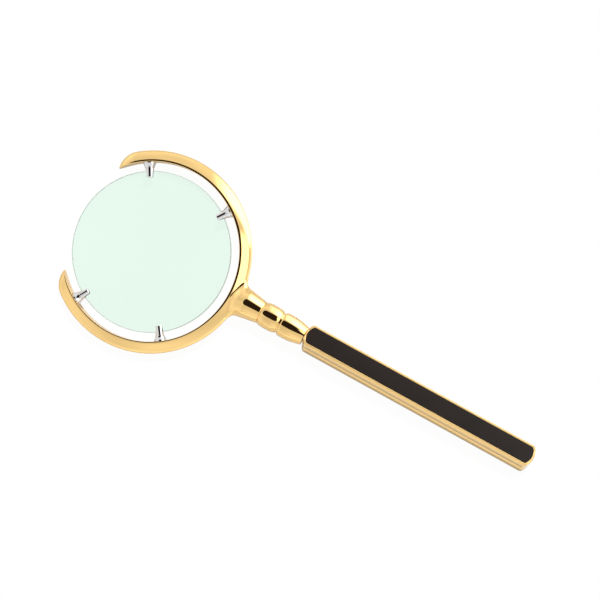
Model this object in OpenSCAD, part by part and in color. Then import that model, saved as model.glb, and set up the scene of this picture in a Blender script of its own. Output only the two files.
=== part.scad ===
// Hand loupe: a frameless glass lens gripped by four posts inside an open, two-tipped bow,
// carried on a turned neck and a square bar handle with a dark inlay on its front and back.
// Modelled lying down: +X along the handle, away from the lens, and +Z out of the lens's front face.

/* [Lens] */
// Diameter of the round glass
lens_d = 60; // [52:1:76]
// Thickness of the glass at its edge
lens_edge = 1.4; // [1.2:0.1:1.8]
// Radius of curvature of both faces
lens_face_r = 250; // [200:5:400]

/* [Bow] */
// Open gap between the edge of the glass and the bow's inner wall
ring_gap = 3.35; // [2.8:0.05:6]
// Width of the bow, across the ring
bow_w = 4.4; // [3.8:0.1:7]
// Depth of the bow, from front to back
bow_t = 5; // [4.4:0.1:8]
// Radius that eases the bow's inner edge
inner_edge_r = 0.15; // [0.1:0.05:0.3]
// Radius of the crest, the highest line of the bow
ridge_r = 1.4; // [1:0.1:1.6]
// Slope of the crest at the inner edge, towards the glass
crest_lean = 10; // [6:1:14]
// Slope at which the crest runs into the dome
ridge_turn = 24; // [20:1:28]
// Angle from the handle at which each arm starts to narrow
arm_angle = 127; // [125:1:132]
// Angle from the handle at which each arm ends in its point
tip_angle = 140; // [136:1:148]
// Width left at the very point of each arm
tip_w = 0.5; // [0.3:0.1:1]

/* [Lens posts] */
// Diameter of the posts
post_d = 3.1; // [2.9:0.1:4]
// Angle from the handle to the two posts on its side of the lens
near_post_angle = 55; // [40:1:70]
// Angle from the handle to the two posts by the tips
far_post_angle = 120; // [110:1:122]
// How far each post reaches over the glass
post_grip = 2.5; // [1.5:0.1:3]
// Diameter of the lock collar where it meets the bow
collar_d = 4.8; // [4.2:0.1:6]
// Diameter of the lock collar at its end towards the glass
collar_nose_d = 3.8; // [3.6:0.1:4.2]
// Height of the lock collar
collar_h = 2; // [1.2:0.1:2.4]
// Diameter of the threaded shank that enters the bow
shank_d = 1.6; // [1.2:0.1:2]
// Length of the threaded shank
shank_l = 2.3; // [1.6:0.1:2.8]
// Diameter of the soft tip that keeps the glass off the metal
cushion_d = 1.2; // [0.8:0.1:1.6]
// Length of the soft tip
cushion_l = 1.1; // [0.8:0.1:1.6]

/* [Neck] */
// Length of the socket that grows out of the bow
socket_l = 9.4; // [8:0.1:14]
// Diameter of the socket at its open end
socket_d = 8.5; // [7.5:0.1:10]
// Diameter of the socket where its blends start
socket_root_d = 10.7; // [9.6:0.1:12]
// Radius of the blends between socket and ring
blend_r = 4.2; // [3:0.1:5]
// Length of the bead
bead_l = 7.7; // [6:0.1:12]
// Largest diameter of the bead
bead_d = 9.5; // [8.8:0.1:12]
// Diameter of the bead at both its ends
bead_end_d = 8.2; // [7:0.1:8.4]
// Fullness of the bead: 2 is a round barrel, more is flatter in the middle
bead_power = 3.4; // [2:0.2:4]
// Width of the groove between bead and ferrule
groove_w = 0.7; // [0.4:0.1:1.5]
// Diameter at the bottom of that groove
groove_d = 7.8; // [6.5:0.1:8]
// Length of the ferrule, without the groove
ferrule_l = 9.6; // [8:0.1:16]
// Diameter of the ferrule
ferrule_d = 9.2; // [8.4:0.1:11]
// Diameter of the ferrule where it meets the handle
ferrule_end_d = 7; // [6:0.1:7.6]
// Share of the ferrule that is straight
ferrule_straight = 0.3; // [0.2:0.02:0.6]
// Diameter of the tie stud
stud_d = 3; // [2.4:0.1:3.6]

/* [Handle] */
// Length of the handle bar
handle_l = 93; // [80:1:130]
// Width of the bar, across its front face
handle_w = 8.4; // [8:0.1:12]
// Depth of the bar, from its front face to its back face
handle_t = 8.4; // [8:0.1:12]
// How far the handle is turned on its thread, away from the plane of the lens
handle_turn = 22; // [0:1:30]
// Radius of the bar's bowed ends, seen from the front, as a share of its width
end_bow = 0.68; // [0.6:0.02:1]
// Radius of the bar's corners, seen from the front
corner_r = 1.4; // [1.2:0.1:2]
// Radius of the bar's ends, seen from the side
end_round_r = 1.2; // [0.6:0.1:1.4]
// Chamfer on the bar's long edges
edge_chamfer = 0.3; // [0.15:0.05:0.5]
// Chamfer on each half where the two halves meet
parting_chamfer = 0.45; // [0.2:0.05:0.5]
// Diameter of the threaded insert inside the bar
insert_d = 5.2; // [4.6:0.1:5.4]
// Length of the threaded insert
insert_l = 14; // [10:1:18]
// Wall between the neck and the insert's pocket
insert_wall = 2; // [1.6:0.1:3]

/* [Inlays] */
// Metal border left round each inlay
inlay_border = 0.8; // [0.6:0.05:1.2]
// Thickness of the inlay plates
inlay_t = 0.8; // [0.6:0.05:0.9]

/* [Screws] */
// Number of screws that join the two halves of the bar
screw_count = 3; // [2:1:3]
// Diameter of the screws
screw_d = 1.8; // [1.4:0.1:2]
// Diameter of their countersunk heads
screw_head_d = 3.4; // [3:0.1:3.8]

/* [Hidden] */

$fn = 96;
round_fn = 180;
eps = 0.02;
over = 1;

gold = "#E3B968";
steel = "#C9CBCE";
dark_steel = "#8E9196";
glass = [0.86, 0.96, 0.90, 0.55];
inlay_black = "#2E2825";
clear_nylon = "#EDEDE6";

// Clearances
grip_clear = 0.06;
root_clear = 0.12;
wall_clear = 0.02;
bore_clear = 0.05;
thread_clear = 0.03;
inlay_clear = 0.04;
inlay_sink = 0.05;
head_sink = 0.1;
stud_end_room = 0.4;

// Lens
face_steps = 14;
lens_r = lens_d / 2;
function sag(r) = lens_face_r - sqrt(lens_face_r * lens_face_r - r * r);
function glass_t(r) = lens_edge + 2 * (sag(lens_r) - sag(r));

// Bow
wall_r = lens_r + ring_gap;
rim_r = wall_r + bow_w;
bow_h = bow_t / 2;
round_steps = 3;
dome_steps = 6;
edge_steps = 2;
edge_z = bow_h - ridge_r + (ridge_r - inner_edge_r) * cos(crest_lean);
crest_x = inner_edge_r + (ridge_r - inner_edge_r) * sin(crest_lean);
dome_x = crest_x + ridge_r * sin(ridge_turn);
dome_z = bow_h - ridge_r * (1 - cos(ridge_turn));
dome_power = tan(ridge_turn) * (bow_w - dome_x) / dome_z;
tip_steps = 10;
tip_overlap = 1;
tip_skin = 0.997;
tip_depth_power = 0.55;

// Upper half of the bow's section, from the inner wall over the crest and down the dome.
// The dome leaves the crest without an edge and meets the rim at a right angle.
edge_arc = [for (i = [0 : edge_steps])
    let (a = (90 - crest_lean) * i / edge_steps)
    [inner_edge_r * (1 - cos(a)), edge_z + inner_edge_r * sin(a)]];
ridge_arc = [for (i = [1 : round_steps])
    let (a = -crest_lean + (crest_lean + ridge_turn) * i / (round_steps + 1))
    [crest_x + ridge_r * sin(a), bow_h - ridge_r * (1 - cos(a))]];
dome_arc = [for (i = [0 : dome_steps])
    let (q = sin(90 * i / dome_steps))
    [dome_x + (bow_w - dome_x) * q, dome_z * pow(1 - q, dome_power)]];
half_section = concat(edge_arc, ridge_arc, dome_arc);
half_count = len(half_section);
// The whole section with its width and height taken as 1
unit_section = [for (p = concat(half_section,
    [for (i = [half_count - 2 : -1 : 0]) [half_section[i][0], -half_section[i][1]]]))
    [p[0] / bow_w, p[1] / bow_h]];

// The arm's outer edge leaves the ring on an arc that ends at the point
tip_outer_r = wall_r + tip_w;
tip_turn = tip_angle - arm_angle;
tip_in = rim_r - tip_outer_r * cos(tip_turn);
tip_along = tip_outer_r * sin(tip_turn);
tip_arc_r = (tip_along * tip_along + tip_in * tip_in) / (2 * tip_in);
tip_arc_c = rim_r - tip_arc_r;
function edge_r(a) = a <= 0 ? rim_r :
    tip_arc_c * cos(a) + sqrt(tip_arc_r * tip_arc_r - pow(tip_arc_c * sin(a), 2));
function arm_w(a) = edge_r(a) - wall_r;
function arm_h(a) = bow_h * pow(arm_w(a) / bow_w, tip_depth_power);

// Posts
tip_r = lens_r - post_grip;
slot_w = glass_t(tip_r) + 2 * grip_clear;
slot_root_r = lens_r + root_clear;
post_chamfer = 0.25;
collar_rim = 0.5;
collar_sag = wall_r - sqrt(wall_r * wall_r - collar_d * collar_d / 4);
post_sag = wall_r - sqrt(wall_r * wall_r - post_d * post_d / 4);
collar_seat_r = wall_r - collar_sag - wall_clear;
post_seat_r = wall_r - post_sag - wall_clear;
cushion_tip_r = lens_r + wall_clear;
post_angles = [near_post_angle, far_post_angle, -far_post_angle, -near_post_angle];

// Neck
socket_x = rim_r + socket_l;
blend_y = socket_root_d / 2 + blend_r;
blend_x = sqrt(pow(rim_r + blend_r, 2) - blend_y * blend_y);
blend_steps = 10;
web_share = 0.62;
cove_share = 0.68;
root_share = 0.4;
hole_floor = 3;
web_h = bow_h * web_share;
cove_x = wall_r + bow_w * cove_share;
cove_r = socket_root_d / 2;
cove_turn = 80;
socket_start_x = wall_r + bow_w * root_share;
stud_hole_x = socket_start_x + hole_floor;
bead_x = socket_x;
ferrule_x = bead_x + bead_l;
handle_x = ferrule_x + groove_w + ferrule_l;
bead_bulge = (bead_d - bead_end_d) / 2;
bead_steps = 24;
ferrule_chamfer = 0.25;
taper_steps = 10;

// Handle, in its own turned axes with x from the neck end
pocket_floor = handle_t / 2 - inlay_t - inlay_sink;
min_corner_r = 0.3;
insert_x = insert_wall;
insert_end_x = insert_x + insert_l;
insert_floor = 1;
stud_end_x = handle_x + insert_end_x - insert_floor - stud_end_room;
screw_start_margin = 8;
screw_end_margin = 12;
screw_floor = 1.4;
screw_first_x = insert_end_x + screw_start_margin;
screw_last_x = handle_l - screw_end_margin;
screw_step = (screw_last_x - screw_first_x) / (screw_count - 1);
screw_head_h = (screw_head_d - screw_d) / 2;
screw_reach = handle_t / 2 - inlay_t - screw_floor;

// Place in the frame: the part's origin is under the middle of its box
low_corner = handle_w / 2 * sin(handle_turn) + handle_t / 2 * cos(handle_turn)
    - edge_chamfer * min(sin(handle_turn), cos(handle_turn));
mid_x = (handle_x + handle_l - lens_r) / 2;
rest_z = max(low_corner, bow_h);

module in_frame() {
    translate([-mid_x, 0, rest_z]) children();
}

module in_handle() {
    in_frame() translate([handle_x, 0, 0]) rotate([-handle_turn, 0, 0]) children();
}

// Turned shape along +X from a list of [distance along X, radius] points
module turned(profile) {
    rotate([0, 90, 0]) rotate_extrude()
        polygon([for (p = profile) [p[1], p[0]]]);
}

// One arm's point: sections of falling width and depth, lofted round the ring
module arm_tip() {
    side_count = len(unit_section);
    rings = [for (i = [0 : tip_steps])
        let (a = -tip_overlap + (tip_turn + tip_overlap) * i / tip_steps,
            skin = a <= 0 ? tip_skin : 1,
            w = arm_w(a) * skin,
            h = arm_h(a) * skin,
            r0 = wall_r + (arm_w(a) - w) / 2)
        for (p = unit_section)
            [(r0 + w * p[0]) * cos(arm_angle + a), (r0 + w * p[0]) * sin(arm_angle + a), h * p[1]]];
    sides = [for (i = [0 : tip_steps - 1])
        for (j = [0 : side_count - 1])
        let (k = (j + 1) % side_count, a = i * side_count, b = a + side_count)
        each [[a + j, b + j, a + k], [a + k, b + j, b + k]]];
    last = tip_steps * side_count;
    caps = concat(
        [for (j = [1 : side_count - 2]) [0, j, j + 1]],
        [for (j = [1 : side_count - 2]) [last, last + j + 1, last + j]]);
    polyhedron(points = rings, faces = concat(sides, caps), convexity = 4);
}

module ring_arm() {
    rotate([0, 0, -arm_angle]) rotate_extrude(angle = 2 * arm_angle, $fn = round_fn)
        polygon([for (p = unit_section) [wall_r + bow_w * p[0], bow_h * p[1]]]);
}

// The socket: a turned flare cut to the bow's depth by coves on its front and back
module socket() {
    blend_turn = acos(blend_y / (rim_r + blend_r));
    arc = [for (i = [0 : blend_steps])
        let (a = blend_turn * (1 - i / blend_steps))
        [blend_x - blend_r * sin(a), blend_y - blend_r * cos(a)]];
    flare = concat([[socket_start_x, 0], [socket_start_x, arc[0][1]]], arc,
        [[socket_x, socket_d / 2], [socket_x, 0]]);
    cove = [for (i = [0 : blend_steps])
        let (a = cove_turn * i / blend_steps)
        [cove_x + cove_r * sin(a), web_h + cove_r * (1 - cos(a))]];
    cove_end_x = cove_x + cove_r * sin(cove_turn);
    side = concat([[socket_start_x, 0], [socket_start_x, web_h]], cove,
        [[cove_end_x, blend_y], [socket_x + over, blend_y], [socket_x + over, 0]]);
    intersection() {
        turned(flare);
        rotate([90, 0, 0]) linear_extrude(height = 4 * blend_y, center = true) {
            polygon(side);
            mirror([0, 1]) polygon(side);
        }
    }
}

module at_post(i) {
    rotate([0, 0, post_angles[i]]) children();
}

module bow_frame() {
    color(gold) in_frame() difference() {
        union() {
            ring_arm();
            arm_tip();
            mirror([0, 1, 0]) arm_tip();
            socket();
        }
        for (i = [0 : 3])
            at_post(i) translate([wall_r - over, 0, 0]) rotate([0, 90, 0])
                cylinder(d = shank_d + 2 * thread_clear, h = shank_l + over);
        translate([stud_hole_x, 0, 0]) rotate([0, 90, 0])
            cylinder(d = stud_d + 2 * bore_clear, h = socket_x - stud_hole_x + over);
    }
}

module lens() {
    face = [for (i = [0 : face_steps]) let (r = lens_r * i / face_steps) [r, glass_t(r) / 2]];
    back = [for (i = [face_steps : -1 : 0]) [face[i][0], -face[i][1]]];
    color(glass) in_frame() rotate_extrude($fn = round_fn) polygon(concat(face, back));
}

// A slotted post: its two cheeks straddle the glass, and its shank screws into the bow
module lens_post(i) {
    shank_end_r = wall_r + shank_l - root_clear;
    color(steel) in_frame() at_post(i) difference() {
        turned([
            [tip_r, 0], [tip_r, post_d / 2 - post_chamfer], [tip_r + post_chamfer, post_d / 2],
            [post_seat_r, post_d / 2], [post_seat_r, shank_d / 2],
            [shank_end_r, shank_d / 2], [shank_end_r, 0]
        ]);
        translate([tip_r - over, -post_d, -slot_w / 2])
            cube([slot_root_r - tip_r + over, 2 * post_d, slot_w]);
        translate([slot_root_r - over, 0, 0]) rotate([0, 90, 0])
            cylinder(d = cushion_d + 2 * thread_clear, h = cushion_l + over);
    }
}

// Conical lock collar round the foot of a post
module post_collar(i) {
    bore_r = post_d / 2 + thread_clear;
    color(steel) in_frame() at_post(i) turned([
        [collar_seat_r - collar_h, bore_r], [collar_seat_r - collar_h, collar_nose_d / 2],
        [collar_seat_r - collar_rim, collar_d / 2], [collar_seat_r, collar_d / 2], [collar_seat_r, bore_r]
    ]);
}

module lens_cushion(i) {
    color(clear_nylon) in_frame() at_post(i) translate([cushion_tip_r, 0, 0]) rotate([0, 90, 0])
        cylinder(d = cushion_d, h = cushion_l);
}

module neck_bead() {
    outline = [for (i = [0 : bead_steps])
        let (u = i / bead_steps)
        [bead_x + bead_l * u, bead_end_d / 2 + bead_bulge * (1 - pow(abs(2 * u - 1), bead_power))]];
    color(gold) in_frame() difference() {
        turned(concat([[bead_x, 0]], outline, [[bead_x + bead_l, 0]]));
        translate([bead_x - over, 0, 0]) rotate([0, 90, 0])
            cylinder(d = stud_d + 2 * bore_clear, h = bead_l + 2 * over);
    }
}

module neck_ferrule() {
    body_x = ferrule_x + groove_w;
    taper_x = body_x + ferrule_l * ferrule_straight;
    taper_l = handle_x - taper_x;
    fall = (ferrule_d - ferrule_end_d) / 2;
    taper = [for (i = [0 : taper_steps])
        let (u = i / taper_steps)
        [taper_x + taper_l * u, ferrule_d / 2 - fall * (1 - cos(90 * u))]];
    color(gold) in_frame() difference() {
        turned(concat([
            [ferrule_x, 0], [ferrule_x, groove_d / 2], [body_x, groove_d / 2],
            [body_x, ferrule_d / 2 - ferrule_chamfer], [body_x + ferrule_chamfer, ferrule_d / 2]
        ], taper, [[handle_x, 0]]));
        translate([ferrule_x - over, 0, 0]) rotate([0, 90, 0])
            cylinder(d = stud_d + 2 * bore_clear, h = handle_x - ferrule_x + 2 * over);
    }
}

// Threaded rod that draws the socket, bead, ferrule and handle together
module tie_stud() {
    start_x = stud_hole_x + stud_end_room;
    color(dark_steel) in_frame() translate([start_x, 0, 0]) rotate([0, 90, 0])
        cylinder(d = stud_d, h = stud_end_x - start_x);
}

module handle_insert() {
    color(dark_steel) in_handle() difference() {
        translate([insert_x + bore_clear, 0, 0]) rotate([0, 90, 0])
            cylinder(d = insert_d, h = insert_l - 2 * bore_clear);
        translate([insert_x - over, 0, 0]) rotate([0, 90, 0])
            cylinder(d = stud_d + 2 * thread_clear, h = insert_l - insert_floor + over);
    }
}

// The bar from the side: straight, with round corners
module side_outline() {
    translate([end_round_r, -handle_t / 2]) square([handle_l - 2 * end_round_r, handle_t]);
    translate([0, end_round_r - handle_t / 2]) square([handle_l, handle_t - 2 * end_round_r]);
    for (x = [end_round_r, handle_l - end_round_r], s = [-1, 1])
        translate([x, s * (handle_t / 2 - end_round_r)]) circle(r = end_round_r);
}

// The bar from the front, drawn in by an inset: its ends are bowed and run round into its sides
module front_outline(inset) {
    l = handle_l - 2 * inset;
    hw = handle_w / 2 - inset;
    bow_r = handle_w * end_bow - inset;
    round_r = max(corner_r - inset, min_corner_r);
    corner_x = bow_r - sqrt(pow(bow_r - round_r, 2) - pow(hw - round_r, 2));
    bow_y = bow_r * (hw - round_r) / (bow_r - round_r);
    translate([inset, 0]) {
        translate([corner_x, -hw]) square([l - 2 * corner_x, 2 * hw]);
        for (end = [0, 1]) translate([end * l, 0]) mirror([end, 0]) {
            intersection() {
                translate([bow_r, 0]) circle(r = bow_r);
                translate([0, -bow_y]) square([corner_x + eps, 2 * bow_y]);
            }
            for (s = [-1, 1]) translate([corner_x, s * (hw - round_r)]) circle(r = round_r);
        }
    }
}

// The front half of the bar; the back half is the same bar turned over
module half_bar() {
    hw = handle_w / 2;
    ht = handle_t / 2;
    difference() {
        intersection() {
            linear_extrude(height = ht) front_outline(0);
            rotate([90, 0, 0]) linear_extrude(height = 2 * handle_w, center = true) side_outline();
            rotate([90, 0, 90]) linear_extrude(height = handle_l) polygon([
                [-hw + parting_chamfer, 0], [hw - parting_chamfer, 0], [hw, parting_chamfer],
                [hw, ht - edge_chamfer], [hw - edge_chamfer, ht],
                [-hw + edge_chamfer, ht], [-hw, ht - edge_chamfer], [-hw, parting_chamfer]
            ]);
        }
        translate([0, 0, pocket_floor]) linear_extrude(height = handle_t) front_outline(inlay_border);
        translate([insert_x, 0, 0]) rotate([0, 90, 0])
            cylinder(d = insert_d + 2 * thread_clear, h = insert_l);
        translate([-over, 0, 0]) rotate([0, 90, 0])
            cylinder(d = stud_d + 2 * bore_clear, h = insert_x + 2 * over);
    }
}

module at_screws() {
    for (i = [0 : screw_count - 1])
        translate([screw_first_x + i * screw_step, 0, 0]) children();
}

module handle_front() {
    color(gold) in_handle() difference() {
        half_bar();
        at_screws() translate([0, 0, -over])
            cylinder(d = screw_d + 2 * thread_clear, h = screw_reach + over);
    }
}

module handle_back() {
    color(gold) in_handle() difference() {
        mirror([0, 0, 1]) half_bar();
        at_screws() {
            translate([0, 0, -handle_t]) cylinder(d = screw_d + 2 * thread_clear, h = 2 * handle_t);
            translate([0, 0, -pocket_floor - eps])
                cylinder(d1 = screw_head_d + 2 * head_sink + 2 * thread_clear, d2 = screw_d,
                    h = screw_head_h + head_sink + thread_clear + eps);
        }
    }
}

module inlay() {
    translate([0, 0, pocket_floor + inlay_clear / 2])
        linear_extrude(height = inlay_t) front_outline(inlay_border + inlay_clear);
}

module front_inlay() {
    color(inlay_black) in_handle() inlay();
}

module back_inlay() {
    color(inlay_black) in_handle() mirror([0, 0, 1]) inlay();
}

// Countersunk screws, under the back inlay
module handle_screws() {
    color(dark_steel) in_handle() at_screws() {
        translate([0, 0, -pocket_floor + head_sink])
            cylinder(d1 = screw_head_d, d2 = screw_d, h = screw_head_h);
        translate([0, 0, -pocket_floor + head_sink + screw_head_h - eps])
            cylinder(d = screw_d, h = pocket_floor - head_sink - screw_head_h + screw_reach - root_clear);
    }
}

bow_frame();
lens();
lens_post(0);  // lens_post_1
lens_post(1);  // lens_post_2
lens_post(2);  // lens_post_3
lens_post(3);  // lens_post_4
post_collar(0);  // post_collar_1
post_collar(1);  // post_collar_2
post_collar(2);  // post_collar_3
post_collar(3);  // post_collar_4
lens_cushion(0);  // lens_cushion_1
lens_cushion(1);  // lens_cushion_2
lens_cushion(2);  // lens_cushion_3
lens_cushion(3);  // lens_cushion_4
neck_bead();
neck_ferrule();
tie_stud();
handle_insert();
handle_front();
handle_back();
front_inlay();
back_inlay();
handle_screws();
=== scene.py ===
# Hand loupe: gilt bow and handle, bright steel posts, pale crown glass and black lacquered inlays.
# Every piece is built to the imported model's own sizes, in metres, lying on a white table.
from math import cos, pi, radians, sin, sqrt, tan

import bmesh
import bpy
import numpy
from mathutils import Matrix, Vector


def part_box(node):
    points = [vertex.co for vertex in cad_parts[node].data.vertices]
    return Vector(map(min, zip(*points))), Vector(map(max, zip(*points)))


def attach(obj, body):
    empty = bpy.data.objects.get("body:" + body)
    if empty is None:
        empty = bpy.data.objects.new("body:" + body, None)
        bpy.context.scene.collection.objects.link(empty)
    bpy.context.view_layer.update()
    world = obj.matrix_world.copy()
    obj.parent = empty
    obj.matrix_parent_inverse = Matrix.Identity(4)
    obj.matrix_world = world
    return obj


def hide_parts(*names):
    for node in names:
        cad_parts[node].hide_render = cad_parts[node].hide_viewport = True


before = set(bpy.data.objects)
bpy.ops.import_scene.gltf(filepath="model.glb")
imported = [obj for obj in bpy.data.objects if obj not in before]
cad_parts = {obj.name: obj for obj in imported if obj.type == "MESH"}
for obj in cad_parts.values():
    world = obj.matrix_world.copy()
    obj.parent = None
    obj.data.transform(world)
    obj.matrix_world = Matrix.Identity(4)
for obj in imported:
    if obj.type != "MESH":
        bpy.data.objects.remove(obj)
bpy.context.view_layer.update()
mm = 0.001
onAxis = 1e-7  # a ring narrower than this, in metres, is one point

lensLow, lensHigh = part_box("lens")
beadLow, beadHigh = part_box("neck_bead")
ferruleLow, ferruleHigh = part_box("neck_ferrule")
bowCentre = (lensLow + lensHigh) / 2
lensRadius = (lensHigh.x - lensLow.x) / 2


# Shared helpers

def srgb(hexColour):
    parts = [int(hexColour[i:i + 2], 16) / 255 for i in (1, 3, 5)]
    return [c / 12.92 if c <= 0.04045 else ((c + 0.055) / 1.055) ** 2.4 for c in parts] + [1]


def addNode(tree, kind, inputs=None, **settings):
    # An input is filled by a value, by a socket, or by another node's first output
    node = tree.nodes.new(kind)
    for name, value in settings.items():
        setattr(node, name, value)
    for key, value in (inputs or {}).items():
        if isinstance(value, bpy.types.Node):
            value = value.outputs[0]
        if isinstance(value, bpy.types.NodeSocket):
            tree.links.new(value, node.inputs[key])
        else:
            node.inputs[key].default_value = value
    return node


def newMaterial(name):
    material = bpy.data.materials.new(name)
    material.use_nodes = True
    material.node_tree.nodes.clear()
    return material, material.node_tree


def meshFrom(bm, name, place=None):
    if place:
        bmesh.ops.transform(bm, matrix=place, verts=bm.verts)
    bmesh.ops.recalc_face_normals(bm, faces=bm.faces)
    mesh = bpy.data.meshes.new(name)
    bm.to_mesh(mesh)
    bm.free()
    return mesh


def addObject(name, mesh):
    thing = bpy.data.objects.new(name, mesh)
    bpy.context.scene.collection.objects.link(thing)
    return thing


def sheetMesh(name, w, h):
    # A flat rectangle, from -w to w and from -h to h
    bm = bmesh.new()
    bm.faces.new([bm.verts.new((x, y, 0)) for x, y in ((-w, -h), (w, -h), (w, h), (-w, h))])
    return meshFrom(bm, name)


def addPiece(name, mesh, materials, nodes, sharpAngle):
    for material in materials:
        if material.name not in mesh.materials:
            mesh.materials.append(material)
    mesh.shade_smooth()
    mesh.set_sharp_from_angle(angle=radians(sharpAngle))
    piece = addObject(name, mesh)
    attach(piece, "root")
    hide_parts(*nodes)
    return piece


def refinish(nodes, material):
    for node in nodes:
        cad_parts[node].data.materials.clear()
        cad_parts[node].data.materials.append(material)


def addTurned(bm, profile, segments):
    # A solid of revolution about X from [distance along X, radius] points in metres
    rings = []
    for x, r in profile:
        turns = [2 * pi * i / segments for i in range(segments)] if r > onAxis else [0]
        rings.append([bm.verts.new((x, r * cos(a), r * sin(a))) for a in turns])
    closed = rings + ([rings[0]] if len(rings[0]) > 1 else [])
    for a, b in zip(closed, closed[1:]):
        for i in range(segments):
            j = (i + 1) % segments
            corners = [a[i % len(a)], a[j % len(a)], b[j % len(b)], b[i % len(b)]]
            corners = [v for k, v in enumerate(corners) if v not in corners[:k]]
            if len(corners) > 2:
                bm.faces.new(corners)


def eased(a, b, c, radius, steps=4):
    # The corner b between a and c, eased with a short arc
    a, b, c = Vector(a), Vector(b), Vector(c)
    p, q = b + (a - b).normalized() * radius, b + (c - b).normalized() * radius
    shares = [i / steps for i in range(steps + 1)]
    return [tuple(p * (1 - t) ** 2 + b * 2 * t * (1 - t) + q * t * t) for t in shares]


# Camera: the photograph's own, fitted to the rim, the lens and the handle's line

cameraLook = {
    "place": (53.99 * mm, 20.70 * mm, 513.25 * mm),
    "turn": (2.2974, 6.5155, 28.7607),
    "focalLength": 84,
    "sensor": 36,
    "clipStart": 10 * mm,
}
cameraData = bpy.data.cameras.new("camera")
cameraData.lens = cameraLook["focalLength"]
cameraData.sensor_width = cameraLook["sensor"]
cameraData.clip_start = cameraLook["clipStart"]
camera = addObject("camera", cameraData)
camera.location = cameraLook["place"]
camera.rotation_euler = [radians(a) for a in cameraLook["turn"]]
bpy.context.scene.camera = camera
bpy.context.scene.view_settings.view_transform = "Standard"

# Studio: white room and table, soft boxes at the far side and the right,
# dark cloth round the camera

studio = {
    "room": 1.0,
    "fill": 0.4,
    "key": 2.3,
    "keyTurn": (-36, 0, 0),
    "keySpread": 7,
    "zenith": 0.95,
    "horizon": 1.25,
    "horizonHeight": 0.5,
    "unevenness": 0.16,
    "cloudScale": 1.6,
    "cloudRange": (0.3, 0.7),
    "tableHalf": 3.0,
    "tableColour": "#EDEDED",
    "tableLight": 1.02,
    "tableGlow": 0.94,
    "tableGlowInMetal": 0.25,
}
# Sheets that only reflections see: place, size, the point they face, how square (2 is an oval),
# the share of the size that fades, colour, strength
cards = {
    "softBox": ((0.11, 0.24, 0.11), (0.38, 0.30), (0.11, 0.0, 0.11), 4, 0.45, "#FFFFFF", 3.4),
    "sideSoftBox": ((0.34, -0.06, 0.1), (0.24, 0.14), (0.0, -0.02, 0.0), 4, 0.6, "#FFFFFF", 1.8),
    "upperSideBox": ((0.20, 0.12, 0.25), (0.28, 0.22), (-0.02, 0.01, 0.0), 4, 0.4, "#FFFFFF", 2.2),
    "tableSheen": ((0.115, 0.16, 0.001), (0.3, 0.3), (0.115, 0.16, 1.0), 8, 0.08, "#FFFFFF", 2.5),
    "darkCloth": ((-0.08, 0.145, 0.45), (0.70, 0.48), (-0.08, 0.145, 0.0), 2.6, 0.06,
                  "#2A2422", 1.0),
}


def makeWorld():
    world = bpy.data.worlds.new("whiteRoom")
    world.use_nodes = True
    tree = world.node_tree
    tree.nodes.clear()
    coordinates = addNode(tree, "ShaderNodeTexCoord").outputs["Generated"]
    height = addNode(tree, "ShaderNodeSeparateXYZ", {0: coordinates}).outputs["Z"]
    band = addNode(tree, "ShaderNodeMapRange", {
        "Value": height, "From Min": 0.0, "From Max": studio["horizonHeight"],
        "To Min": studio["horizon"], "To Max": studio["zenith"]}, interpolation_type="SMOOTHSTEP")
    cloud = addNode(tree, "ShaderNodeTexNoise", {
        "Vector": coordinates, "Scale": studio["cloudScale"], "Detail": 1.0})
    cloudLow, cloudHigh = studio["cloudRange"]
    uneven = addNode(tree, "ShaderNodeMapRange", {
        "Value": cloud.outputs["Fac"], "From Min": cloudLow, "From Max": cloudHigh,
        "To Min": 1 - studio["unevenness"], "To Max": 1 + studio["unevenness"]})
    level = addNode(tree, "ShaderNodeMath", {0: band, 1: uneven}, operation="MULTIPLY")
    path = addNode(tree, "ShaderNodeLightPath").outputs
    direct = addNode(tree, "ShaderNodeMath", {
        0: path["Is Camera Ray"], 1: path["Is Transmission Ray"]}, operation="MAXIMUM")
    plain = addNode(tree, "ShaderNodeMix", {0: direct, 2: studio["fill"], 3: studio["room"]})
    seen = addNode(tree, "ShaderNodeMix", {0: path["Is Glossy Ray"], 2: plain, 3: level})
    background = addNode(tree, "ShaderNodeBackground", {"Color": (1, 1, 1, 1), "Strength": seen})
    addNode(tree, "ShaderNodeOutputWorld", {"Surface": background})
    bpy.context.scene.world = world


def makeTable():
    # White to the eye and through the lens. Metal sees more of its real shade,
    # which is dark where the loupe stands close.
    material, tree = newMaterial("whiteTable")
    path = addNode(tree, "ShaderNodeLightPath").outputs
    seen = addNode(tree, "ShaderNodeMath", {
        0: path["Is Camera Ray"], 1: path["Is Transmission Ray"]}, operation="MAXIMUM")
    plain = addNode(tree, "ShaderNodeMath", {
        0: seen, 1: studio["tableGlow"]}, operation="MULTIPLY")
    metal = addNode(tree, "ShaderNodeMath", {
        0: path["Is Glossy Ray"], 1: studio["tableGlowInMetal"]}, operation="MULTIPLY")
    share = addNode(tree, "ShaderNodeMath", {0: plain, 1: metal}, operation="MAXIMUM")
    paint = addNode(tree, "ShaderNodeBsdfDiffuse", {"Color": srgb(studio["tableColour"])})
    glow = addNode(tree, "ShaderNodeEmission", {
        "Color": (1, 1, 1, 1), "Strength": studio["tableLight"]})
    mixed = addNode(tree, "ShaderNodeMixShader", {0: share, 1: paint, 2: glow})
    addNode(tree, "ShaderNodeOutputMaterial", {"Surface": mixed})
    table = addObject("table", sheetMesh("table", studio["tableHalf"], studio["tableHalf"]))
    table.data.materials.append(material)


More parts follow.
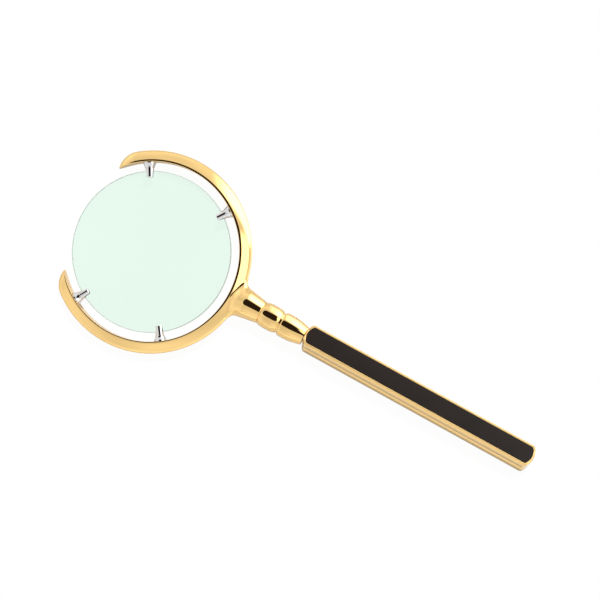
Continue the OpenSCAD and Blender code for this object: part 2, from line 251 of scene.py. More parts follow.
def makeCard(name, at, size, towards, squareness, fade, colour, strength):
    # Clear at its rim, and to the polished glass, whose faint mirror image would show its outline
    material, tree = newMaterial(name)
    place = addNode(tree, "ShaderNodeTexCoord").outputs["Object"]
    parts = addNode(tree, "ShaderNodeSeparateXYZ", {0: place}).outputs
    total = 0.0
    for part, side in zip(parts, size):
        share = addNode(tree, "ShaderNodeMath", {0: part, 1: side / 2}, operation="DIVIDE")
        far = addNode(tree, "ShaderNodeMath", {0: share}, operation="ABSOLUTE")
        raised = addNode(tree, "ShaderNodeMath", {0: far, 1: squareness}, operation="POWER")
        total = addNode(tree, "ShaderNodeMath", {0: raised, 1: total}, operation="ADD")
    out = addNode(tree, "ShaderNodeMath", {0: total, 1: 1 / squareness}, operation="POWER")
    rim = addNode(tree, "ShaderNodeMapRange", {"Value": out, "From Min": 1 - fade},
                  interpolation_type="SMOOTHSTEP")
    polished = addNode(tree, "ShaderNodeLightPath").outputs["Is Singular Ray"]
    clear = addNode(tree, "ShaderNodeMath", {0: rim, 1: polished}, operation="MAXIMUM")
    glow = addNode(tree, "ShaderNodeEmission", {"Color": srgb(colour), "Strength": strength})
    through = addNode(tree, "ShaderNodeBsdfTransparent")
    mixed = addNode(tree, "ShaderNodeMixShader", {0: clear, 1: glow, 2: through})
    addNode(tree, "ShaderNodeOutputMaterial", {"Surface": mixed})
    card = addObject(name, sheetMesh(name, size[0] / 2, size[1] / 2))
    card.data.materials.append(material)
    turn = (Vector(towards) - Vector(at)).to_track_quat("Z", "Y").to_matrix().to_4x4()
    card.matrix_world = Matrix.Translation(at) @ turn
    card.visible_camera = card.visible_diffuse = False
    card.visible_shadow = card.visible_transmission = False


def makeKey():
    # Light from the far side, for the shadow at the loupe's near side.
    # Its own image stays out of the metal.
    lamp = bpy.data.lights.new("key", "SUN")
    lamp.energy = studio["key"]
    lamp.angle = radians(studio["keySpread"])
    key = addObject("key", lamp)
    key.rotation_euler = [radians(a) for a in studio["keyTurn"]]
    key.visible_glossy = False


makeWorld()
makeTable()
makeKey()
for cardName, cardLook in cards.items():
    makeCard(cardName, *cardLook)
print("studio: camera, white room, table, soft boxes and dark cloth")


# Materials: colours, then the sizes of the marks that each way of working leaves

finishes = {
    "gold": {"colour": "#F4CE89", "roughness": (0.03, 0.07),
             "haze": 6 * mm, "waves": 4 * mm, "height": 0.02 * mm, "relief": 0.5},
    "steel": {"colour": "#DDDCDC", "roughness": (0.04, 0.12), "marks": 0.5 * mm},
    "glass": {"colour": "#E6F8ED", "refraction": 1.52, "turnsInside": 1.5},
    "frost": {"colour": "#B4C6BC", "roughness": 0.45, "clearness": 0.5,
              "grit": 0.15 * mm, "height": 0.02 * mm, "relief": 0.3},
    "lacquer": {"dark": "#1C1714", "light": "#28201B", "roughness": 0.16,
                "refraction": 1.5, "gloss": 0.2,
                "clouds": 9 * mm, "peel": 0.8 * mm, "height": 0.02 * mm, "relief": 0.1},
    "rod": {"colour": "#9EA1A6", "roughness": (0.25, 0.45), "marks": 0.3 * mm},
    "nylon": {"colour": "#EDEDE6", "roughness": 0.5, "refraction": 1.53,
              "grain": 0.2 * mm, "height": 0.01 * mm, "relief": 0.1},
}


def goldPlate():
    # Gold plate on brass, buffed to a mirror: clean reflections, with a breath of polishing haze
    # and the slow waviness that a buffing wheel leaves
    finish = finishes["gold"]
    material, tree = newMaterial("mirrorPolishedGoldPlate")
    place = addNode(tree, "ShaderNodeTexCoord").outputs["Object"]
    haze = addNode(tree, "ShaderNodeTexNoise", {
        "Vector": place, "Scale": 1 / finish["haze"], "Detail": 3.0})
    low, high = finish["roughness"]
    roughness = addNode(tree, "ShaderNodeMapRange", {
        "Value": haze, "To Min": low, "To Max": high})
    waves = addNode(tree, "ShaderNodeTexNoise", {
        "Vector": place, "Scale": 1 / finish["waves"], "Detail": 1.0})
    buffing = addNode(tree, "ShaderNodeBump", {
        "Height": waves, "Strength": finish["relief"], "Distance": finish["height"]})
    shader = addNode(tree, "ShaderNodeBsdfPrincipled", {
        "Base Color": srgb(finish["colour"]), "Metallic": 1.0, "Roughness": roughness,
        "Normal": buffing})
    addNode(tree, "ShaderNodeOutputMaterial", {"Surface": shader})
    return material


def turnedSteel():
    # Stainless steel turned and tumbled bright: cool, nearly colourless mirror
    finish = finishes["steel"]
    material, tree = newMaterial("brightTurnedSteel")
    place = addNode(tree, "ShaderNodeTexCoord").outputs["Object"]
    turning = addNode(tree, "ShaderNodeTexNoise", {
        "Vector": place, "Scale": 1 / finish["marks"], "Detail": 2.0})
    low, high = finish["roughness"]
    roughness = addNode(tree, "ShaderNodeMapRange", {
        "Value": turning, "To Min": low, "To Max": high})
    shader = addNode(tree, "ShaderNodeBsdfPrincipled", {
        "Base Color": srgb(finish["colour"]), "Metallic": 1.0, "Roughness": roughness})
    addNode(tree, "ShaderNodeOutputMaterial", {"Surface": shader})
    return material


def crownGlass():
    # Crown glass with polished faces: clear, with the faint green of its iron.
    # Light that the lens traps is let out at its second turn inside, so a low view stays clear
    finish = finishes["glass"]
    material, tree = newMaterial("polishedCrownGlass")
    turns = addNode(tree, "ShaderNodeLightPath").outputs["Ray Depth"]
    trapped = addNode(tree, "ShaderNodeMath", {0: turns, 1: finish["turnsInside"]},
                      operation="GREATER_THAN")
    inside = addNode(tree, "ShaderNodeNewGeometry").outputs["Backfacing"]
    out = addNode(tree, "ShaderNodeMath", {0: trapped, 1: inside}, operation="MULTIPLY")
    alpha = addNode(tree, "ShaderNodeMath", {0: 1.0, 1: out}, operation="SUBTRACT")
    shader = addNode(tree, "ShaderNodeBsdfPrincipled", {
        "Base Color": srgb(finish["colour"]), "Roughness": 0.0, "IOR": finish["refraction"],
        "Transmission Weight": 1.0, "Alpha": alpha})
    addNode(tree, "ShaderNodeOutputMaterial", {"Surface": shader})
    return material


def groundGlass():
    # The lens's ground edge: the same glass with a fine grey-green frost
    finish = finishes["frost"]
    material, tree = newMaterial("groundGlassEdge")
    place = addNode(tree, "ShaderNodeTexCoord").outputs["Object"]
    grit = addNode(tree, "ShaderNodeTexNoise", {
        "Vector": place, "Scale": 1 / finish["grit"], "Detail": 2.0})
    frosting = addNode(tree, "ShaderNodeBump", {
        "Height": grit, "Strength": finish["relief"], "Distance": finish["height"]})
    shader = addNode(tree, "ShaderNodeBsdfPrincipled", {
        "Base Color": srgb(finish["colour"]), "Roughness": finish["roughness"],
        "IOR": finishes["glass"]["refraction"], "Transmission Weight": finish["clearness"],
        "Normal": frosting})
    addNode(tree, "ShaderNodeOutputMaterial", {"Surface": shader})
    return material


def blackLacquer():
    # Black stoving lacquer on a thin plate: deep brown-black, satin, with the least orange peel
    finish = finishes["lacquer"]
    material, tree = newMaterial("satinBlackLacquer")
    place = addNode(tree, "ShaderNodeTexCoord").outputs["Object"]
    cloud = addNode(tree, "ShaderNodeTexNoise", {
        "Vector": place, "Scale": 1 / finish["clouds"], "Detail": 3.0})
    colour = addNode(tree, "ShaderNodeMix", {
        0: cloud, 6: srgb(finish["dark"]), 7: srgb(finish["light"])}, data_type="RGBA")
    drops = addNode(tree, "ShaderNodeTexNoise", {
        "Vector": place, "Scale": 1 / finish["peel"], "Detail": 1.0})
    peel = addNode(tree, "ShaderNodeBump", {
        "Height": drops, "Strength": finish["relief"], "Distance": finish["height"]})
    shader = addNode(tree, "ShaderNodeBsdfPrincipled", {
        "Base Color": colour.outputs[2], "Roughness": finish["roughness"],
        "IOR": finish["refraction"], "Specular IOR Level": finish["gloss"], "Normal": peel})
    addNode(tree, "ShaderNodeOutputMaterial", {"Surface": shader})
    return material


def machinedSteel():
    # Cut rod and screws as machined, hidden inside the handle
    finish = finishes["rod"]
    material, tree = newMaterial("plainMachinedSteel")
    place = addNode(tree, "ShaderNodeTexCoord").outputs["Object"]
    marks = addNode(tree, "ShaderNodeTexNoise", {
        "Vector": place, "Scale": 1 / finish["marks"], "Detail": 3.0})
    low, high = finish["roughness"]
    roughness = addNode(tree, "ShaderNodeMapRange", {
        "Value": marks, "To Min": low, "To Max": high})
    shader = addNode(tree, "ShaderNodeBsdfPrincipled", {
        "Base Color": srgb(finish["colour"]), "Metallic": 1.0, "Roughness": roughness})
    addNode(tree, "ShaderNodeOutputMaterial", {"Surface": shader})
    return material


def naturalNylon():
    # Moulded natural nylon: milky, waxy and matt
    finish = finishes["nylon"]
    material, tree = newMaterial("mouldedNaturalNylon")
    place = addNode(tree, "ShaderNodeTexCoord").outputs["Object"]
    skin = addNode(tree, "ShaderNodeTexNoise", {
        "Vector": place, "Scale": 1 / finish["grain"], "Detail": 2.0})
    grain = addNode(tree, "ShaderNodeBump", {
        "Height": skin, "Strength": finish["relief"], "Distance": finish["height"]})
    shader = addNode(tree, "ShaderNodeBsdfPrincipled", {
        "Base Color": srgb(finish["colour"]), "Roughness": finish["roughness"],
        "IOR": finish["refraction"], "Normal": grain})
    addNode(tree, "ShaderNodeOutputMaterial", {"Surface": shader})
    return material


gold = goldPlate()
steel = turnedSteel()
glass = crownGlass()
frost = groundGlass()
lacquer = blackLacquer()
darkSteel = machinedSteel()
nylon = naturalNylon()
print("materials: gold plate, steel, glass, lacquer, nylon")

# Lens: biconvex, with a ground edge and a tiny safety bevel at both its rims

lens = {
    "faceRadius": 250 * mm,
    "edge": 1.4 * mm,
    "bevel": 0.2 * mm,
    "rings": 48,
    "segments": 256,
    "sharpAngle": 20,
}


def sag(r):
    return lens["faceRadius"] - sqrt(lens["faceRadius"] ** 2 - r * r)


def makeLens():
    top = lensRadius - lens["bevel"]
    crown = lens["edge"] / 2 + sag(lensRadius)
    radii = [top * i / lens["rings"] for i in range(lens["rings"] + 1)]
    face = [(crown - sag(r), r) for r in radii]
    edge = lens["edge"] / 2 - lens["bevel"]
    rim = [(edge, lensRadius), (-edge, lensRadius)]
    profile = face + rim + [(-x, r) for x, r in reversed(face)]
    bm = bmesh.new()
    addTurned(bm, profile, lens["segments"])
    for f in bm.faces:
        centre = f.calc_center_median()
        f.material_index = 1 if sqrt(centre.y ** 2 + centre.z ** 2) > top else 0
    place = Matrix.Translation(bowCentre) @ Matrix.Rotation(-pi / 2, 4, "Y")
    piece = addPiece("lensGlass", meshFrom(bm, "lensGlass", place), [glass, frost],
                     ["lens"], lens["sharpAngle"])
    piece.visible_shadow = False
    piece.visible_diffuse = False


makeLens()
print("lens: ground and polished")

# Bow: one section swept round the lens, drawn down to a point at both ends

bow = {
    "wallRadius": lensRadius + 3.35 * mm,
    "width": 4.4 * mm,
    "halfDepth": 2.5 * mm,
    "innerEdge": 0.15 * mm,
    "ridge": 1.4 * mm,
    "crestLean": 10,
    "ridgeTurn": 24,
    "armAngle": 127,
    "tipAngle": 140,
    "tipWidth": 0.5 * mm,
    "tipDepthPower": 0.55,
    "edgeSteps": 6,
    "ridgeSteps": 12,
    "domeSteps": 32,
    "steps": 420,
    "sharpAngle": 50,
}


def bowSection():
    # Closed outline, x outwards from the inner wall and y along the lens's axis
    width, half, edge, ridge = bow["width"], bow["halfDepth"], bow["innerEdge"], bow["ridge"]
    lean, turn = radians(bow["crestLean"]), radians(bow["ridgeTurn"])
    crestX = edge + (ridge - edge) * sin(lean)
    edgeY = half - ridge + (ridge - edge) * cos(lean)
    edgeTurns = [(pi / 2 - lean) * i / bow["edgeSteps"] for i in range(bow["edgeSteps"])]
    ridgeTurns = [-lean + (lean + turn) * i / bow["ridgeSteps"] for i in range(bow["ridgeSteps"])]
    reaches = [sin(pi / 2 * i / bow["domeSteps"]) for i in range(bow["domeSteps"] + 1)]
    upper = [(edge * (1 - cos(a)), edgeY + edge * sin(a)) for a in edgeTurns]
    upper += [(crestX + ridge * sin(a), half - ridge * (1 - cos(a))) for a in ridgeTurns]
    domeX, domeY = crestX + ridge * sin(turn), half - ridge * (1 - cos(turn))
    power = tan(turn) * (width - domeX) / domeY
    upper += [(domeX + (width - domeX) * q, domeY * (1 - q) ** power) for q in reaches]
    return upper + [(x, -y) for x, y in reversed(upper[:-1])]


def addInput(tree, name, kind):
    return tree.interface.new_socket(name=name, in_out="INPUT", socket_type=kind).identifier


def makeBowTree():
    tree = bpy.data.node_groups.new("bowSweep", "GeometryNodeTree")
    names = {"Section": addInput(tree, "Section", "NodeSocketObject")}
    for name in ("Wall Radius", "Width", "Arm Angle", "Tip Angle", "Tip Arc Radius",
                 "Tip Depth Power"):
        names[name] = addInput(tree, name, "NodeSocketFloat")
    names["Steps"] = addInput(tree, "Steps", "NodeSocketInt")
    names["Material"] = addInput(tree, "Material", "NodeSocketMaterial")
    tree.interface.new_socket(name="Geometry", in_out="OUTPUT", socket_type="NodeSocketGeometry")
    given = tree.nodes.new("NodeGroupInput").outputs
    start = addNode(tree, "ShaderNodeMath", {0: given["Tip Angle"], 1: -1.0}, operation="MULTIPLY")
    sweep = addNode(tree, "ShaderNodeMath", {0: given["Tip Angle"], 1: 2.0}, operation="MULTIPLY")
    arc = addNode(tree, "GeometryNodeCurveArc", {
        "Resolution": given["Steps"], "Radius": given["Wall Radius"],
        "Start Angle": start, "Sweep Angle": sweep})
    section = addNode(tree, "GeometryNodeObjectInfo", {"Object": given["Section"]})
    profile = addNode(tree, "GeometryNodeMeshToCurve", {"Mesh": section.outputs["Geometry"]})
    swept = addNode(tree, "GeometryNodeCurveToMesh", {
        "Curve": arc, "Profile Curve": profile, "Fill Caps": True})

    # Past the arm angle the outer edge follows an arc to the point, and depth falls with width
    position = addNode(tree, "GeometryNodeInputPosition")
    place = addNode(tree, "ShaderNodeSeparateXYZ", {0: position}).outputs
    found = {
        "x": place["X"], "y": place["Y"], "z": place["Z"],
        "wall": given["Wall Radius"], "width": given["Width"], "arm": given["Arm Angle"],
        "arc": given["Tip Arc Radius"], "power": given["Tip Depth Power"],
    }
    sums = (
        ("xx", "MULTIPLY", "x", "x"), ("yy", "MULTIPLY", "y", "y"),
        ("square", "ADD", "xx", "yy"), ("radius", "SQRT", "square"),
        ("side", "ABSOLUTE", "y"), ("around", "ARCTAN2", "side", "x"),
        ("over", "SUBTRACT", "around", "arm"), ("past", "MAXIMUM", "over", 0.0),
        ("rim", "ADD", "wall", "width"), ("centre", "SUBTRACT", "rim", "arc"),
        ("sine", "SINE", "past"), ("cosine", "COSINE", "past"),
        ("across", "MULTIPLY", "centre", "sine"), ("along", "MULTIPLY", "centre", "cosine"),
        ("arcArc", "MULTIPLY", "arc", "arc"), ("acrossAcross", "MULTIPLY", "across", "across"),
        ("rest", "SUBTRACT", "arcArc", "acrossAcross"), ("reach", "SQRT", "rest"),
        ("edge", "ADD", "along", "reach"), ("left", "SUBTRACT", "edge", "wall"),
        ("share", "DIVIDE", "left", "width"), ("depth", "POWER", "share", "power"),
        ("out", "SUBTRACT", "radius", "wall"), ("drawn", "MULTIPLY", "out", "share"),
        ("to", "ADD", "wall", "drawn"), ("stretch", "DIVIDE", "to", "radius"),
        ("newX", "MULTIPLY", "x", "stretch"), ("newY", "MULTIPLY", "y", "stretch"),
        ("newZ", "MULTIPLY", "z", "depth"),
    )
    for name, operation, *terms in sums:
        inputs = {i: found.get(term, term) for i, term in enumerate(terms)}
        found[name] = addNode(tree, "ShaderNodeMath", inputs, operation=operation)
    moved = addNode(tree, "ShaderNodeCombineXYZ", {
        0: found["newX"], 1: found["newY"], 2: found["newZ"]})
    shaped = addNode(tree, "GeometryNodeSetPosition", {"Geometry": swept, "Position": moved})
    realized = addNode(tree, "GeometryNodeRealizeInstances", {0: shaped})
    painted = addNode(tree, "GeometryNodeSetMaterial", {
        "Geometry": realized, "Material": given["Material"]})
    addNode(tree, "NodeGroupOutput", {0: painted})
    return tree, names


def growMesh(name, tree, names, values):
    # Runs a node tree on an empty mesh and keeps the result as a plain mesh
    seed = addObject(name + "Seed", bpy.data.meshes.new(name + "Seed"))
    modifier = seed.modifiers.new(name, "NODES")
    modifier.node_group = tree
    for key, value in values.items():
        modifier[names[key]] = value
    bpy.context.view_layer.update()
    grown = seed.evaluated_get(bpy.context.evaluated_depsgraph_get())
    mesh = bpy.data.meshes.new_from_object(grown)
    mesh.name = name
    seed.modifiers.remove(modifier)
    bpy.data.objects.remove(seed)
    return mesh


def makeRing():
    bm = bmesh.new()
    verts = [bm.verts.new((x, y, 0)) for x, y in bowSection()]
    for a, b in zip(verts, verts[1:] + verts[:1]):
        bm.edges.new((a, b))
    section = addObject("bowSection", meshFrom(bm, "bowSection"))
    tree, names = makeBowTree()
    wall, width = bow["wallRadius"], bow["width"]
    turn = radians(bow["tipAngle"] - bow["armAngle"])
    tip = wall + bow["tipWidth"]
    inwards, along = wall + width - tip * cos(turn), tip * sin(turn)
    mesh = growMesh("bowRing", tree, names, {
        "Section": section, "Wall Radius": wall, "Width": width,
        "Arm Angle": radians(bow["armAngle"]), "Tip Angle": radians(bow["tipAngle"]),
        "Tip Arc Radius": (along ** 2 + inwards ** 2) / (2 * inwards),
        "Tip Depth Power": bow["tipDepthPower"], "Steps": bow["steps"], "Material": gold})
    bpy.data.objects.remove(section)
    return mesh


ringMesh = makeRing()
print("bow: ring swept,", len(ringMesh.vertices), "points")

# Socket: a turned body whose meeting with the ring is filled out to one smooth skin

socket = {
    "nose": 33.9 * mm,
    "noseRadius": 2.1 * mm,
    "shoulder": 40.8 * mm,
    "shoulderRadius": 5.27 * mm,
    "end": 47.15 * mm,
    "endRadius": 4.25 * mm,
    "beyondEnd": 1.3,
    "taperPower": 1.25,
    "fill": 4.9 * mm,
    "leastFill": 0.05 * mm,
    "fillStart": 0.1,
    "underRing": 0.02 * mm,
    "underFrom": 0.5,
    "footAngle": 16.5,
    "footReach": 0.8,
    "footPower": 1.3,
    "bendBack": 1.5 * mm,
    "bendOut": 1.05,
    "smoothEnd": 43.4 * mm,
    "chamfer": 0.12 * mm,
    "outlineSteps": 90,
    "firstSettling": 10,
    "relaxing": 14,
    "settling": 2,
    "steps": 56,
    "turnedSteps": 16,
    "segments": 160,
}


def socketRadius(x):
    s = socket
    if x < s["shoulder"]:
        rise = (x - s["nose"]) / (s["shoulder"] - s["nose"])
        swell = s["shoulderRadius"] - s["noseRadius"]
        return s["noseRadius"] + swell * rise * rise * (3 - 2 * rise)
    along = min((x - s["shoulder"]) / (s["end"] - s["shoulder"]), 1)
    return s["shoulderRadius"] - (s["shoulderRadius"] - s["endRadius"]) * along ** s["taperPower"]


def outlineDistance(px, py, outline):
    # Distance from points to a closed outline, below zero inside it
    best = numpy.full(px.shape, numpy.inf)
    inside = numpy.zeros(px.shape, bool)
    for (ax, ay), (bx, by) in zip(outline, outline[1:] + outline[:1]):
        ex, ey = bx - ax, by - ay
        t = numpy.clip(((px - ax) * ex + (py - ay) * ey) / (ex * ex + ey * ey), 0, 1)
        best = numpy.minimum(best, numpy.hypot(px - ax - t * ex, py - ay - t * ey))
        if ey:
            inside ^= ((ay > py) != (by > py)) & (px < ax + (py - ay) * ex / ey)
    return numpy.where(inside, -best, best)


def skinDistance(p, ringOutline, socketOutline):
    # Distance to ring and socket as one body, filled out where they meet, least at the crest
    out = numpy.hypot(p[:, 0], p[:, 1]) - bow["wallRadius"]
    ring = outlineDistance(out, p[:, 2], ringOutline)
    body = outlineDistance(p[:, 0], numpy.hypot(p[:, 1], p[:, 2]), socketOutline)
    t = numpy.clip((out / bow["width"] - socket["fillStart"]) / (1 - socket["fillStart"]), 0, 1)
    fill = socket["leastFill"] + socket["fill"] * t * t * (3 - 2 * t)
    near = numpy.maximum(fill - abs(ring - body), 0) / fill
    # Past the fillet the skin dips just under the ring's own surface, so the two don't flicker
    under = socket["underRing"] * numpy.clip((body - ring) / fill - socket["underFrom"], 0, 1)
    return numpy.minimum(ring, body) - near * near * fill / 4 + under


def settleOnSkin(points, rounds):
    # Newton steps along the slope of the distance, measured over a thousandth of a millimetre
    s = socket
    count, step, leastSlope = s["outlineSteps"], 1e-6, 0.25
    ringOutline = bowSection()
    turns = [pi / 2 * i / count for i in range(count + 1)]
    xs = [s["nose"] + (s["end"] - s["nose"]) * (1 - cos(a)) for a in turns]
    upper = [(x, socketRadius(x)) for x in xs] + [(s["end"] * s["beyondEnd"], s["endRadius"])]
    socketOutline = upper + [(x, -r) for x, r in reversed(upper)]
    for _ in range(rounds):
        here = skinDistance(points, ringOutline, socketOutline)
        moved = [points + step * axis for axis in numpy.eye(3)]
        there = [skinDistance(p, ringOutline, socketOutline) for p in moved]
        slope = numpy.stack([(distance - here) / step for distance in there], axis=1)
        points -= slope * (here / numpy.maximum((slope ** 2).sum(axis=1), leastSlope))[:, None]
    return points


def socketLines():
    # From the foot on the ring's dome, along the skin, to the end of the smooth part
    s = socket
    shares = [i / s["steps"] for i in range(s["steps"] + 1)]
    rows = []
    for k in range(s["segments"]):
        side, up = cos(2 * pi * k / s["segments"]), sin(2 * pi * k / s["segments"])
        depth = bow["width"] * (1 - s["footReach"] * abs(up) ** s["footPower"])
        theta = radians(s["footAngle"]) * side
        radius = bow["wallRadius"] + depth
        foot = Vector((radius * cos(theta), radius * sin(theta), bow["halfDepth"] * up))
        endRadius = socketRadius(s["smoothEnd"])
        end = Vector((s["smoothEnd"], endRadius * side, endRadius * up))
        bend = Vector((s["shoulder"] - s["bendBack"], end.y * s["bendOut"], end.z * s["bendOut"]))
        rows.append([foot * (1 - t) ** 2 + bend * 2 * t * (1 - t) + end * t * t for t in shares])
    return rows


def addSocket(bm):
    s = socket
    lines = numpy.array([[tuple(p) for p in row] for row in socketLines()])
    lines = settleOnSkin(lines.reshape(-1, 3), s["firstSettling"]).reshape(lines.shape)
    for _ in range(s["relaxing"]):
        around = numpy.roll(lines, 1, axis=0) + numpy.roll(lines, -1, axis=0)
        lines[:, 1:-1] = (around[:, 1:-1] + lines[:, 2:] + lines[:, :-2]) / 4
        lines = settleOnSkin(lines.reshape(-1, 3), s["settling"]).reshape(lines.shape)
    count, length = s["turnedSteps"], s["end"] - s["chamfer"] - s["smoothEnd"]
    xs = [s["smoothEnd"] + length * i / count for i in range(1, count + 1)]
    turned = [(x, socketRadius(x)) for x in xs] + [(s["end"], s["endRadius"] - s["chamfer"])]
    rows = []
    for k, line in enumerate(lines):
        side, up = cos(2 * pi * k / s["segments"]), sin(2 * pi * k / s["segments"])
        row = [tuple(p) for p in line] + [(x, r * side, r * up) for x, r in turned]
        rows.append([bm.verts.new(p) for p in row])
    inside = bm.verts.new((bow["wallRadius"] + bow["width"] / 2, 0, 0))
    outside = bm.verts.new((s["end"], 0, 0))
    for a, b in zip(rows, rows[1:] + rows[:1]):
        for i in range(len(a) - 1):
            bm.faces.new((a[i], a[i + 1], b[i + 1], b[i]))
        bm.faces.new((inside, a[0], b[0]))
        bm.faces.new((a[-1], outside, b[-1]))
    bmesh.ops.recalc_face_normals(bm, faces=bm.faces)


def makeBow():
    bm = bmesh.new()
    addSocket(bm)
    bm.from_mesh(ringMesh)
    bmesh.ops.transform(bm, matrix=Matrix.Translation(bowCentre), verts=bm.verts)
    mesh = bpy.data.meshes.new("bow")
    bm.to_mesh(mesh)
    bm.free()
    addPiece("bow", mesh, [gold], ["bow_frame"], bow["sharpAngle"])


makeBow()
print("bow: ring and socket")

# Posts and collars: one of each, turned and slotted, then set round the lens

posts = {
    "angles": (55, 120, -120, -55),
    "radius": 1.55 * mm,
    "tip": lensRadius - 2.5 * mm,
    "seat": bow["wallRadius"] - 0.056 * mm,
    "chamfer": 0.25 * mm,
    "ease": 0.06 * mm,
    "slotRoot": lensRadius + 0.12 * mm,
    "slotHeight": 2.1 * mm,
    "shankRadius": 0.8 * mm,
    "shankEnd": bow["wallRadius"] + 2.18 * mm,
    "collarSeat": bow["wallRadius"] - 0.107 * mm,
    "collarHeight": 2.0 * mm,
    "collarRadius": 2.4 * mm,
    "collarNose": 1.8 * mm,
    "collarRim": 0.4 * mm,
    "collarPower": 1.6,
    "bore": 1.58 * mm,
    "slotBlock": 20 * mm,
    "bellSteps": 12,
    "segments": 64,
    "sharpAngle": 30,
}


def postBlank():
    p = posts
    bm = bmesh.new()
    start = (p["tip"], 0)
    end = (p["tip"], p["radius"] - p["chamfer"])
    body = (p["tip"] + p["chamfer"], p["radius"])
    seat = (p["seat"], p["radius"])
    shank = [(p["seat"], p["shankRadius"]), (p["shankEnd"], p["shankRadius"]), (p["shankEnd"], 0)]
    nose = eased(start, end, body, p["ease"]) + eased(end, body, seat, p["ease"])
    addTurned(bm, [start] + nose + [seat] + shank, p["segments"])
    return addObject("postBlank", meshFrom(bm, "postBlank"))


def collarBlank():
    p = posts
    bm = bmesh.new()
    seat = p["collarSeat"]
    nose, rim = seat - p["collarHeight"], seat - p["collarRim"]
    flare = p["collarRadius"] - p["collarNose"]
    shares = [i / p["bellSteps"] for i in range(p["bellSteps"] + 1)]
    bell = [(nose + (rim - nose) * t, p["collarNose"] + flare * t ** p["collarPower"])
            for t in shares]
    mouth, brim = (nose, p["bore"]), (seat, p["collarRadius"])
    outline = [mouth] + eased(mouth, bell[0], bell[3], p["ease"]) + bell[1:-1]
    outline += eased(bell[-2], bell[-1], brim, p["ease"]) + [brim, (seat, p["bore"])]
    addTurned(bm, outline, p["segments"])
    return addObject("collarBlank", meshFrom(bm, "collarBlank"))


def makePostTree():
    angleNames = [f"Angle {i + 1}" for i in range(len(posts["angles"]))]
    tree = bpy.data.node_groups.new("roundTheLens", "GeometryNodeTree")
    names = {"Part": addInput(tree, "Part", "NodeSocketObject")}
    for name in ["Slot Root", "Slot Height", "Slot Block"] + angleNames:
        names[name] = addInput(tree, name, "NodeSocketFloat")
    names["Material"] = addInput(tree, "Material", "NodeSocketMaterial")
    tree.interface.new_socket(name="Geometry", in_out="OUTPUT", socket_type="NodeSocketGeometry")
    given = tree.nodes.new("NodeGroupInput").outputs
    part = addNode(tree, "GeometryNodeObjectInfo", {"Object": given["Part"]}).outputs["Geometry"]
    # The slot: a block that reaches from beyond the tip to the slot's root
    block = given["Slot Block"]
    size = addNode(tree, "ShaderNodeCombineXYZ", {0: block, 1: block, 2: given["Slot Height"]})
    half = addNode(tree, "ShaderNodeMath", {0: block, 1: 0.5}, operation="MULTIPLY")
    middle = addNode(tree, "ShaderNodeMath", {0: given["Slot Root"], 1: half},
                     operation="SUBTRACT")
    at = addNode(tree, "ShaderNodeCombineXYZ", {0: middle})
    cutter = addNode(tree, "GeometryNodeMeshCube", {"Size": size})
    placed = addNode(tree, "GeometryNodeTransform", {"Geometry": cutter, "Translation": at})
    slotted = addNode(tree, "GeometryNodeMeshBoolean", {0: part, 1: placed},
                      operation="DIFFERENCE")
    index = addNode(tree, "GeometryNodeInputIndex")
    angle = addNode(tree, "GeometryNodeIndexSwitch", {"Index": index}, data_type="FLOAT")
    while len(angle.index_switch_items) < len(angleNames):
        angle.index_switch_items.new()
    for i, name in enumerate(angleNames):
        tree.links.new(given[name], angle.inputs[1 + i])
    turn = addNode(tree, "ShaderNodeCombineXYZ", {2: angle})
    points = addNode(tree, "GeometryNodePoints", {"Count": len(angleNames)})
    around = addNode(tree, "GeometryNodeInstanceOnPoints", {
        "Points": points, "Instance": slotted, "Rotation": turn})
    realized = addNode(tree, "GeometryNodeRealizeInstances", {0: around})
    painted = addNode(tree, "GeometryNodeSetMaterial", {
        "Geometry": realized, "Material": given["Material"]})
    addNode(tree, "NodeGroupOutput", {0: painted})
    return tree, names


def setRoundTheLens(name, blank, tree, names, slotRoot, nodes):
    values = {"Part": blank, "Slot Root": slotRoot, "Slot Height": posts["slotHeight"],
              "Slot Block": posts["slotBlock"], "Material": steel}
    for i, angle in enumerate(posts["angles"]):
        values[f"Angle {i + 1}"] = radians(angle)
    mesh = growMesh(name, tree, names, values)
    mesh.transform(Matrix.Translation(bowCentre))
    bpy.data.objects.remove(blank)
    addPiece(name, mesh, [steel], nodes, posts["sharpAngle"])


postTree, postNames = makePostTree()
postNumbers = range(1, len(posts["angles"]) + 1)
setRoundTheLens("lensPosts", postBlank(), postTree, postNames, posts["slotRoot"],
                [f"lens_post_{i}" for i in postNumbers])
setRoundTheLens("postCollars", collarBlank(), postTree, postNames, 0.0,
                [f"post_collar_{i}" for i in postNumbers])
refinish([f"lens_cushion_{i}" for i in postNumbers], nylon)
print("posts: four posts and collars round the lens")

# Neck: a turned bead, then a ferrule with a groove, both bored for the tie rod

neck = {
    "beadEnd": 4.1 * mm,
    "beadPower": 3.4,
    "beadEase": 0.12 * mm,
    "groove": 0.7 * mm,
    "grooveRadius": 3.9 * mm,
    "shoulderLength": 1.0 * mm,
    "shoulderDrop": 0.45 * mm,
    "ferruleEnd": 3.5 * mm,
    "ferruleStraight": 0.3,
    "bore": 1.55 * mm,
    "barrelSteps": 60,
    "shoulderSteps": 12,
    "taperSteps": 48,
    "segments": 160,
    "sharpAngle": 40,
}


def addNeckPiece(name, outline, node):
    bm = bmesh.new()
    addTurned(bm, outline, neck["segments"])
    place = Matrix.Translation((0, bowCentre.y, bowCentre.z))
    addPiece(name, meshFrom(bm, name, place), [gold], [node], neck["sharpAngle"])


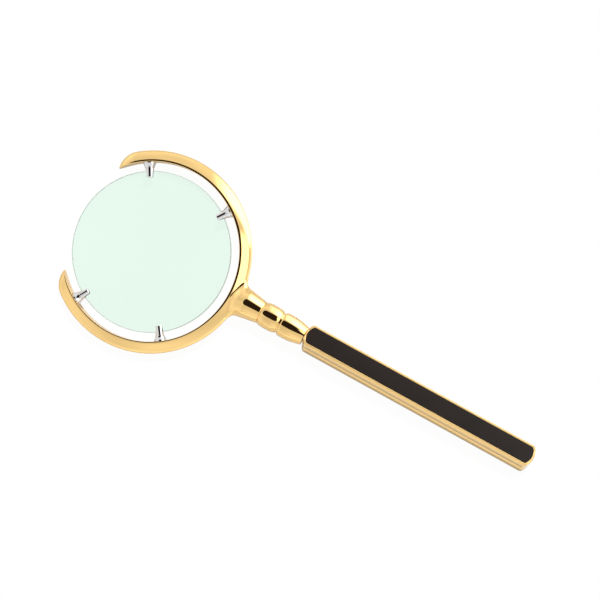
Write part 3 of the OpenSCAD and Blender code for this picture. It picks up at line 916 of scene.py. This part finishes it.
def makeBead():
    n = neck
    start, end = beadLow.x, beadHigh.x
    bulge = (beadHigh.y - beadLow.y) / 2 - n["beadEnd"]
    shares = [i / n["barrelSteps"] for i in range(n["barrelSteps"] + 1)]
    radii = [n["beadEnd"] + bulge * (1 - abs(2 * u - 1) ** n["beadPower"]) for u in shares]
    barrel = [(start + (end - start) * u, r) for u, r in zip(shares, radii)]
    front, back = (start, n["bore"]), (end, n["bore"])
    outline = [front] + eased(front, barrel[0], barrel[2], n["beadEase"]) + barrel[2:-2]
    outline += eased(barrel[-3], barrel[-1], back, n["beadEase"]) + [back]
    addNeckPiece("bead", outline, "neck_bead")


def makeFerrule():
    n = neck
    start, end = ferruleLow.x, ferruleHigh.x
    radius = (ferruleHigh.y - ferruleLow.y) / 2
    body = start + n["groove"]
    taperStart = body + (end - body) * n["ferruleStraight"]
    shares = [i / n["taperSteps"] for i in range(n["taperSteps"] + 1)]
    fall = radius - n["ferruleEnd"]
    taper = [(taperStart + (end - taperStart) * u, radius - fall * (1 - cos(pi / 2 * u)))
             for u in shares]
    turns = [pi / 2 * i / n["shoulderSteps"] for i in range(n["shoulderSteps"] + 1)]
    shoulder = [(body + n["shoulderLength"] * (1 - cos(a)),
                 radius - n["shoulderDrop"] * (1 - sin(a))) for a in turns]
    groove = [(start, n["bore"]), (start, n["grooveRadius"]), (body, n["grooveRadius"])]
    addNeckPiece("ferrule", groove + shoulder + taper + [(end, n["bore"])], "neck_ferrule")


makeBead()
makeFerrule()
print("neck: bead and ferrule")

# Handle: the two halves of the bar with eased edges, and their lacquered inlays

handle = {
    "easeBar": 0.07 * mm,
    "easeInlay": 0.05 * mm,
    "easeSteps": 2,
    "easeAngle": 30,
    "mergeGap": 1e-6,
    "flatAngle": 0.5,
}


def makeEased(name, node, ease, material):
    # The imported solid's own surface, merged, with its edges eased so that they catch the light
    bm = bmesh.new()
    bm.from_mesh(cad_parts[node].data)
    bmesh.ops.remove_doubles(bm, verts=bm.verts, dist=handle["mergeGap"])
    bmesh.ops.dissolve_limit(bm, angle_limit=radians(handle["flatAngle"]),
                             verts=bm.verts, edges=bm.edges)
    piece = addPiece(name, meshFrom(bm, name), [material], [node], handle["easeAngle"])
    bevel = piece.modifiers.new("ease", "BEVEL")
    bevel.width = ease
    bevel.segments = handle["easeSteps"]
    bevel.limit_method = "ANGLE"
    bevel.angle_limit = radians(handle["easeAngle"])
    bevel.harden_normals = True


makeEased("barFront", "handle_front", handle["easeBar"], gold)
makeEased("barBack", "handle_back", handle["easeBar"], gold)
makeEased("inlayFront", "front_inlay", handle["easeInlay"], lacquer)
makeEased("inlayBack", "back_inlay", handle["easeInlay"], lacquer)
refinish(("tie_stud", "handle_insert", "handle_screws"), darkSteel)
print("handle: bar halves and inlays")
